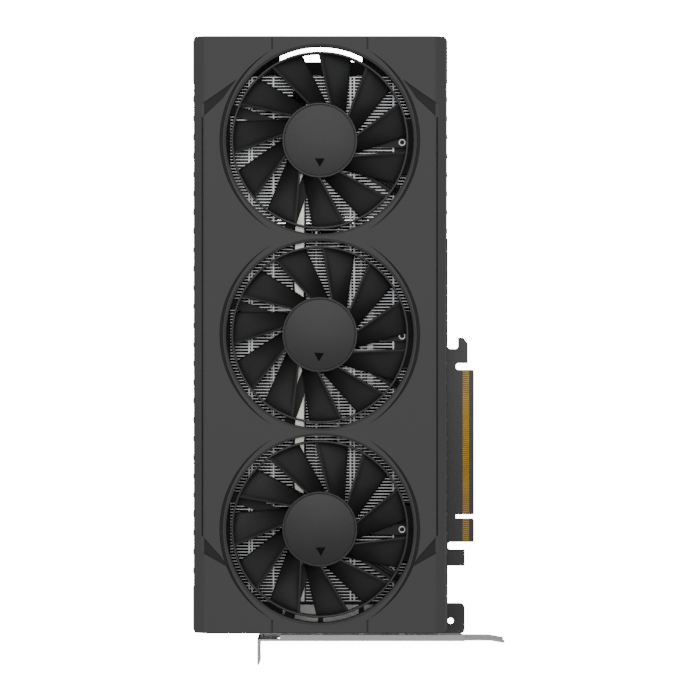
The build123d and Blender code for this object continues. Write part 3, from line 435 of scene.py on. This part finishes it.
@dataclass
class FanRotor:
    """A moulded rotor: cupped hub, swept blades and the hoop that joins their tips.

    Attributes:
        number: which fan it is, counted from the tail.
        centre: middle of the rotor in plan, in metres.
        turn: how far it has turned, in degrees.
        top: height of its front.
        bottom: height of its underside.
    """

    number: int
    centre: Vector
    turn: float
    top: float
    bottom: float
    radius: float = 42.8 * MM
    hoop_wall: float = 1.0 * MM
    hub_radius: float = 18.1 * MM
    hub_wall: float = 1.2 * MM
    hub_front: float = 0.35 * MM
    hub_floor: float = 1.4 * MM
    rim_inset: float = 0.5 * MM
    ring_width: float = 0.35 * MM
    ring_depth: float = 0.25 * MM
    ring_lip: float = 0.3 * MM
    blade_drop: float = 0.6 * MM
    camber: float = 0.72
    blade_count: int = 11
    blade_wall: float = 1.0 * MM
    root_angles: tuple[float, float] = (72.7, 45.4)
    tip_angles: tuple[float, float] = (90.7, 69.0)

    def blade_point(self, share: float, chord: float) -> Vector:
        """Point on a blade's mid-surface.

        Args:
            share: 0 at the hub, 1 at the hoop.
            chord: 0 at the raised edge, 1 at the lowered one.

        Returns:
            The point, about the rotor's own centre.
        """
        ends = []
        for radius, (lead, trail) in (
            (self.hub_radius - self.hub_wall / 2, self.root_angles),
            (self.radius - self.hoop_wall / 2, self.tip_angles),
        ):
            angle = radians(lead + (trail - lead) * chord)
            ends.append(Vector((radius * cos(angle), radius * sin(angle), 0)))
        high, low = self.top - self.blade_drop, self.bottom + self.blade_drop
        # the camber is steepest at the raised edge and flattens out behind it
        height = high + (low - high) * chord**self.camber
        return ends[0].lerp(ends[1], share) + Vector((0, 0, height))

    def make_blade(self) -> bpy.types.Object:
        """Shapes one blade from a flat grid and thickens it.

        Returns:
            The blade.
        """
        deselect_all()
        bpy.ops.mesh.primitive_grid_add(x_subdivisions=10, y_subdivisions=12, size=1.0)
        blade = bpy.context.object
        for vertex in blade.data.vertices:
            vertex.co = self.blade_point(vertex.co.x + 0.5, 0.5 - vertex.co.y)
        wall = blade.modifiers.new("wall", "SOLIDIFY")
        wall.thickness = self.blade_wall
        wall.offset = 0.0
        rounding = blade.modifiers.new("rounding", "BEVEL")
        rounding.width = 0.3 * MM
        rounding.segments = 2
        rounding.angle_limit = radians(50)
        apply_modifiers(blade)
        return blade

    def make_blades(self) -> list[bpy.types.Object]:
        """Copies the first blade round the hub.

        Returns:
            Every blade, the first one included.
        """
        first = self.make_blade()
        blades = [first]
        for n in range(1, self.blade_count):
            copy = first.copy()
            copy.data = first.data.copy()
            bpy.context.scene.collection.objects.link(copy)
            copy.data.transform(Matrix.Rotation(2 * pi * n / self.blade_count, 4, "Z"))
            blades.append(copy)
        return blades

    def make_hub(self) -> bpy.types.Object:
        """Shapes the hub: a cup with a rounded rim and a shallow ring near its edge.

        Returns:
            The hub.
        """
        deselect_all()
        front = self.top - self.hub_front
        bpy.ops.mesh.primitive_cylinder_add(
            vertices=128,
            radius=self.hub_radius,
            depth=front - self.bottom,
            location=(0, 0, (front + self.bottom) / 2),
        )
        hub = bpy.context.object
        bpy.ops.object.mode_set(mode="EDIT")
        pick_faces(hub, lambda face: face.normal.z < -0.9)
        bpy.ops.mesh.inset(thickness=self.hub_wall)
        cup = front - self.bottom - self.hub_floor
        bpy.ops.mesh.extrude_region_move(TRANSFORM_OT_translate={"value": (0, 0, cup)})
        pick_faces(hub, lambda face: face.normal.z > 0.9)
        bpy.ops.mesh.inset(thickness=self.rim_inset)
        bpy.ops.mesh.inset(thickness=self.ring_width)
        bpy.ops.mesh.extrude_region_move(TRANSFORM_OT_translate={"value": (0, 0, -self.ring_depth)})
        bpy.ops.mesh.inset(thickness=self.ring_lip)
        bpy.ops.mesh.extrude_region_move(TRANSFORM_OT_translate={"value": (0, 0, self.ring_depth)})
        bpy.ops.object.mode_set(mode="OBJECT")
        rounding = hub.modifiers.new("rounding", "BEVEL")
        rounding.width = 0.35 * MM
        rounding.segments = 3
        rounding.angle_limit = radians(60)
        apply_modifiers(hub)
        return hub

    def make_hoop(self) -> bpy.types.Object:
        """Shapes the hoop from an open cylinder.

        Returns:
            The hoop.
        """
        deselect_all()
        bpy.ops.mesh.primitive_cylinder_add(
            vertices=160,
            radius=self.radius - self.hoop_wall / 2,
            depth=self.top - self.bottom,
            end_fill_type="NOTHING",
            location=(0, 0, (self.top + self.bottom) / 2),
        )
        hoop = bpy.context.object
        wall = hoop.modifiers.new("wall", "SOLIDIFY")
        wall.thickness = self.hoop_wall
        wall.offset = 0.0
        rounding = hoop.modifiers.new("rounding", "BEVEL")
        rounding.width = 0.25 * MM
        rounding.segments = 2
        apply_modifiers(hoop)
        return hoop

    def build(self) -> bpy.types.Object:
        """Builds the whole rotor, in place on its fan's axis.

        Returns:
            The rotor as one piece.
        """
        pieces = [self.make_hub(), self.make_hoop(), *self.make_blades()]
        for piece in pieces:
            bake_place(piece)
        rotor = join(pieces)
        rotor.data.transform(Matrix.Rotation(radians(self.turn), 4, "Z"))
        rotor.data.transform(Matrix.Translation((self.centre.x, self.centre.y, 0)))
        settle(rotor, f"fan_{self.number}_moulding", FAN_NYLON)
        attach(rotor, f"fan_{self.number}_rotating")
        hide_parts(f"fan_{self.number}_rotor")
        log.info("fan %d moulded with %d blades", self.number, self.blade_count)
        return rotor


@dataclass
class FanScrews:
    """Round screw heads that hold each fan down, each with a driver socket in the middle whose floor carries
    a black disc of painted shade.

    Attributes:
        centres: middle of each head in plan, in metres.
        top: height of the top of the heads.
    """

    centres: list[Vector]
    top: float
    radius: float = 1.85 * MM
    head: float = 0.7 * MM
    socket: float = 0.95 * MM
    socket_depth: float = 0.5 * MM
    shade_disc_wall: float = 0.1 * MM
    shade_disc_clear: float = 0.05 * MM
    shade_disc_lift: float = 0.01 * MM

    def make_head(self) -> bpy.types.Object:
        """Shapes one head about the origin, with a round socket and a rounded rim.

        Returns:
            The head.
        """
        deselect_all()
        bpy.ops.mesh.primitive_cylinder_add(
            vertices=48, radius=self.radius, depth=self.head, location=(0, 0, self.top - self.head / 2)
        )
        head = bpy.context.object
        bpy.ops.object.mode_set(mode="EDIT")
        pick_faces(head, lambda face: face.normal.z > 0.9)
        bpy.ops.mesh.inset(thickness=self.radius - self.socket)
        bpy.ops.mesh.extrude_region_move(TRANSFORM_OT_translate={"value": (0, 0, -self.socket_depth)})
        bpy.ops.object.mode_set(mode="OBJECT")
        rounding = head.modifiers.new("rounding", "BEVEL")
        rounding.width = 0.18 * MM
        rounding.segments = 2
        rounding.angle_limit = radians(60)
        apply_modifiers(head)
        return head

    def make_socket_shade(self) -> bpy.types.Object:
        """Shapes the thin black disc of painted shade that lies on the floor of one socket.

        Returns:
            The disc.
        """
        deselect_all()
        middle = self.top - self.socket_depth + self.shade_disc_lift + self.shade_disc_wall / 2
        bpy.ops.mesh.primitive_cylinder_add(
            vertices=32, radius=self.socket - self.shade_disc_clear, depth=self.shade_disc_wall, location=(0, 0, middle)
        )
        return bpy.context.object

    def spread(self, first: bpy.types.Object) -> bpy.types.Object:
        """Copies a piece to every centre and joins the copies.

        Args:
            first: the piece about the origin, which is used up.

        Returns:
            The copies as one object.
        """
        bake_place(first)
        copies = []
        for centre in self.centres:
            copy = first.copy()
            copy.data = first.data.copy()
            bpy.context.scene.collection.objects.link(copy)
            copy.data.transform(Matrix.Translation((centre.x, centre.y, 0)))
            copies.append(copy)
        bpy.data.objects.remove(first)
        return join(copies)

    def build(self) -> None:
        """Builds the heads and the painted shade in their sockets on the card."""
        heads = settle(self.spread(self.make_head()), "fan_screw_heads", SCREW_STEEL)
        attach(heads, "card")
        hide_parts("fan_mount_screws")
        # black discs of painted shade on the socket floors, standing in for the shade in the sockets
        socket_shade = settle(self.spread(self.make_socket_shade()), "fan_screw_socket_shade", PAINTED_SHADE_BLACK)
        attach(socket_shade, "card")
        log.info("%d fan screws", len(self.centres))


@dataclass
class ShroudPaintedShade:
    """Painted shade: black strips laid in the recesses of the shroud's front face, standing in for the shade
    and dark reflections there.

    Attributes:
        centre_x: the line of the fans.
        fan_ys: each fan's place along the card, from the tail.
        front: height of the shroud's front face.
        half: half of the shroud's width.
    """

    centre_x: float
    fan_ys: list[float]
    front: float
    half: float
    opening: float = 45.3
    crescent_gap: float = 1.4
    crescent_width: float = 1.7
    shifts: tuple[float, float] = (1.7, 5.28)
    groove_floor: float = 1.2
    facet_floor: float = 1.0
    wall: float = 0.3
    margin: float = 0.12
    reach: float = 56.0
    rail: tuple[float, float] = (5.2, 5.9)
    rail_floor: float = 1.8
    rail_ends: tuple[float, float] = (10.9, -3.0)
    lift: float = 0.01

    def slab(self, outline: list[tuple[float, float]], floor: float) -> bpy.types.Object:
        """Fills an outline, in metres, and thickens it upwards from a floor.

        Args:
            outline: its corners in order.
            floor: height of its underside.

        Returns:
            The slab.
        """
        deselect_all()
        bpy.ops.mesh.primitive_circle_add(vertices=len(outline), fill_type="NGON")
        piece = bpy.context.object
        for vertex, (x, y) in zip(piece.data.vertices, outline):
            vertex.co = Vector((x, y, floor + self.lift * MM))
        self.thicken()
        return piece

    def crescent(self, side: int, fan_y: float) -> bpy.types.Object:
        """Shapes one crescent as a strip of quads between the two arcs, then thickens it.

        Args:
            side: 1 towards the contacts, -1 away from them.
            fan_y: the fan's place along the card.

        Returns:
            The crescent.
        """
        gap, width = self.crescent_gap, self.crescent_width
        arcs = (
            (self.shifts[1], self.opening + self.shifts[1] + gap + self.margin),
            (self.shifts[0], self.opening + self.shifts[0] + gap + width - self.margin),
        )
        deselect_all()
        bpy.ops.mesh.primitive_grid_add(x_subdivisions=48, y_subdivisions=1, size=1.0)
        strip = bpy.context.object
        floor = self.front + (self.lift - self.groove_floor) * MM
        for vertex in strip.data.vertices:
            angle = radians(2 * self.reach * vertex.co.x)
            shift, radius = arcs[1] if vertex.co.y > 0 else arcs[0]
            # distance from the fan's axis to an arc whose centre lies off that axis
            away = (sqrt(radius**2 - (shift * sin(angle)) ** 2) - shift * cos(angle)) * MM
            across, along = side * away * cos(angle), away * sin(angle)
            vertex.co = Vector((self.centre_x + across, fan_y + along, floor))
        self.thicken()
        return strip

    def thicken(self) -> None:
        """Extrudes the active piece upwards and turns its faces outwards."""
        bpy.ops.object.mode_set(mode="EDIT")
        bpy.ops.mesh.select_all(action="SELECT")
        bpy.ops.mesh.extrude_region_move(TRANSFORM_OT_translate={"value": (0, 0, self.wall * MM)})
        bpy.ops.mesh.select_all(action="SELECT")
        bpy.ops.mesh.normals_make_consistent(inside=False)
        bpy.ops.object.mode_set(mode="OBJECT")

    def build(self) -> bpy.types.Object:
        """Builds every strip and lays them in as one piece.

        Returns:
            The strips.
        """
        pieces = [self.crescent(side, y) for y in self.fan_ys for side in (-1, 1)]
        upper = self.fan_ys[0] + self.rail_ends[0] * MM
        lower = self.fan_ys[-1] + self.rail_ends[1] * MM
        for side in (-1, 1):
            inner, outer = (self.centre_x + side * (self.half - x * MM) for x in self.rail)
            corners = [(inner, upper), (outer, upper), (outer, lower), (inner, lower)]
            pieces.append(self.slab(corners, self.front - self.rail_floor * MM))
        for fan_y, corners in ((self.fan_ys[0], UPPER_FACET), (self.fan_ys[-1], LOWER_FACET)):
            for side in (-1, 1):
                outline = [(self.centre_x + side * (self.half - x * MM), fan_y + y * MM) for x, y in corners]
                pieces.append(self.slab(outline, self.front - self.facet_floor * MM))
        # the strips are painted shade: black sheets where the shroud's recesses and side bevels lie in shade
        shade_strips = settle(join(pieces), "shroud_painted_shade", PAINTED_SHADE_BLACK, 20.0)
        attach(shade_strips, "card")
        log.info("%d strips laid in the shroud", len(pieces))
        return shade_strips


@dataclass
class Studio:
    """Pale floor, soft lights and the camera above the card."""

    camera_height: float = 2.0
    camera_x: float = 0.825 * MM
    camera_y: float = 0.5 * MM
    lens_mm: float = 208.2
    sensor_mm: float = 36.0
    floor_glow: float = 16.0
    ambient: float = 0.42

    def build(self) -> None:
        """Places the camera, the floor and the lights."""
        self.place_camera()
        self.lay_floor()
        self.hang_lights()

    def place_camera(self) -> None:
        """Adds the camera, looking straight down with the card's tail upwards."""
        data = bpy.data.cameras.new("camera")
        data.lens = self.lens_mm
        data.sensor_width = self.sensor_mm
        data.clip_end = 10.0
        data.dof.use_dof = False
        camera = bpy.data.objects.new("camera", data)
        camera.location = (self.camera_x, self.camera_y, self.camera_height)
        bpy.context.scene.collection.objects.link(camera)
        bpy.context.scene.camera = camera

    def lay_floor(self) -> None:
        """Adds a white acrylic floor that glows faintly, as a light table does."""
        deselect_all()
        bpy.ops.mesh.primitive_plane_add(size=6.0, location=(0, 0, -0.3 * MM))
        floor = bpy.context.object
        floor.name = "floor"
        material = bpy.data.materials.new("opal_acrylic")
        material.use_nodes = True
        shader = material.node_tree.nodes["Principled BSDF"]
        shader.inputs["Base Color"].default_value = to_linear("#f4f4f4")
        shader.inputs["Roughness"].default_value = 0.9
        shader.inputs["Emission Color"].default_value = (1, 1, 1, 1)
        shader.inputs["Emission Strength"].default_value = self.floor_glow
        floor.data.materials.append(material)
        # the glow is only a backdrop: the card's sides aren't lit by it
        floor.visible_diffuse = False
        floor.visible_glossy = False

    def hang_lights(self) -> None:
        """Adds the soft boxes and the even light of the room."""
        world = bpy.data.worlds.new("room")
        world.use_nodes = True
        background = world.node_tree.nodes["Background"]
        background.inputs["Color"].default_value = (1, 1, 1, 1)
        background.inputs["Strength"].default_value = self.ambient
        bpy.context.scene.world = world
        boxes = (
            ("overhead_box", (0.0, 0.5, 1.6), (radians(-17), 0, 0), 1.2, 8.5),
            ("left_box", (-1.1, 0.0, 0.5), (0, radians(-65), 0), 0.8, 0.7),
            ("right_box", (1.1, 0.0, 0.5), (0, radians(65), 0), 0.8, 0.7),
        )
        for name, place, turn, size, power in boxes:
            data = bpy.data.lights.new(name, "AREA")
            data.shape = "SQUARE"
            data.size = size
            data.energy = power
            light = bpy.data.objects.new(name, data)
            light.location = place
            light.rotation_euler = turn
            bpy.context.scene.collection.objects.link(light)


@dataclass
class Card:
    """The whole card: its frame's finishes and the pieces shaped here."""

    turns: tuple[float, float, float] = (0.0, -2.2, 2.4)
    rotors: list[FanRotor] = field(default_factory=list)

    def build(self) -> None:
        """Dresses the frame and builds each fan."""
        dress_frame()
        for number, turn in zip(FAN_NUMBERS, self.turns):
            low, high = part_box(f"fan_{number}_rotor")
            shaft_low, shaft_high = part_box(f"fan_{number}_shaft")
            centre = (Vector(shaft_low) + Vector(shaft_high)) / 2
            rotor = FanRotor(number, centre, turn, high[2], low[2])
            rotor.build()
            self.rotors.append(rotor)
        self.fit_screws()
        self.lay_painted_shade()

    def fit_screws(self) -> None:
        """Puts a screw head wherever the frame has one on a fan mount."""
        low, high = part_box("fan_mount_screws")
        reach = (high[0] + low[0]) / 2 - self.rotors[0].centre.x
        drop = (high[1] + low[1]) / 2 - sum(rotor.centre.y for rotor in self.rotors) / len(self.rotors)
        centres = [rotor.centre + Vector((reach, drop, 0)) for rotor in self.rotors]
        FanScrews(centres, high[2]).build()

    def lay_painted_shade(self) -> None:
        """Lays the black strips of painted shade into the shroud's front face."""
        low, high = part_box("shroud")
        ys = [rotor.centre.y for rotor in self.rotors]
        ShroudPaintedShade(self.rotors[0].centre.x, ys, high[2], (high[0] - low[0]) / 2).build()


def main() -> None:
    """Builds the card and the studio."""
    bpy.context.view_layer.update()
    Studio().build()
    Card().build()


if __name__ == "__main__":
    main()
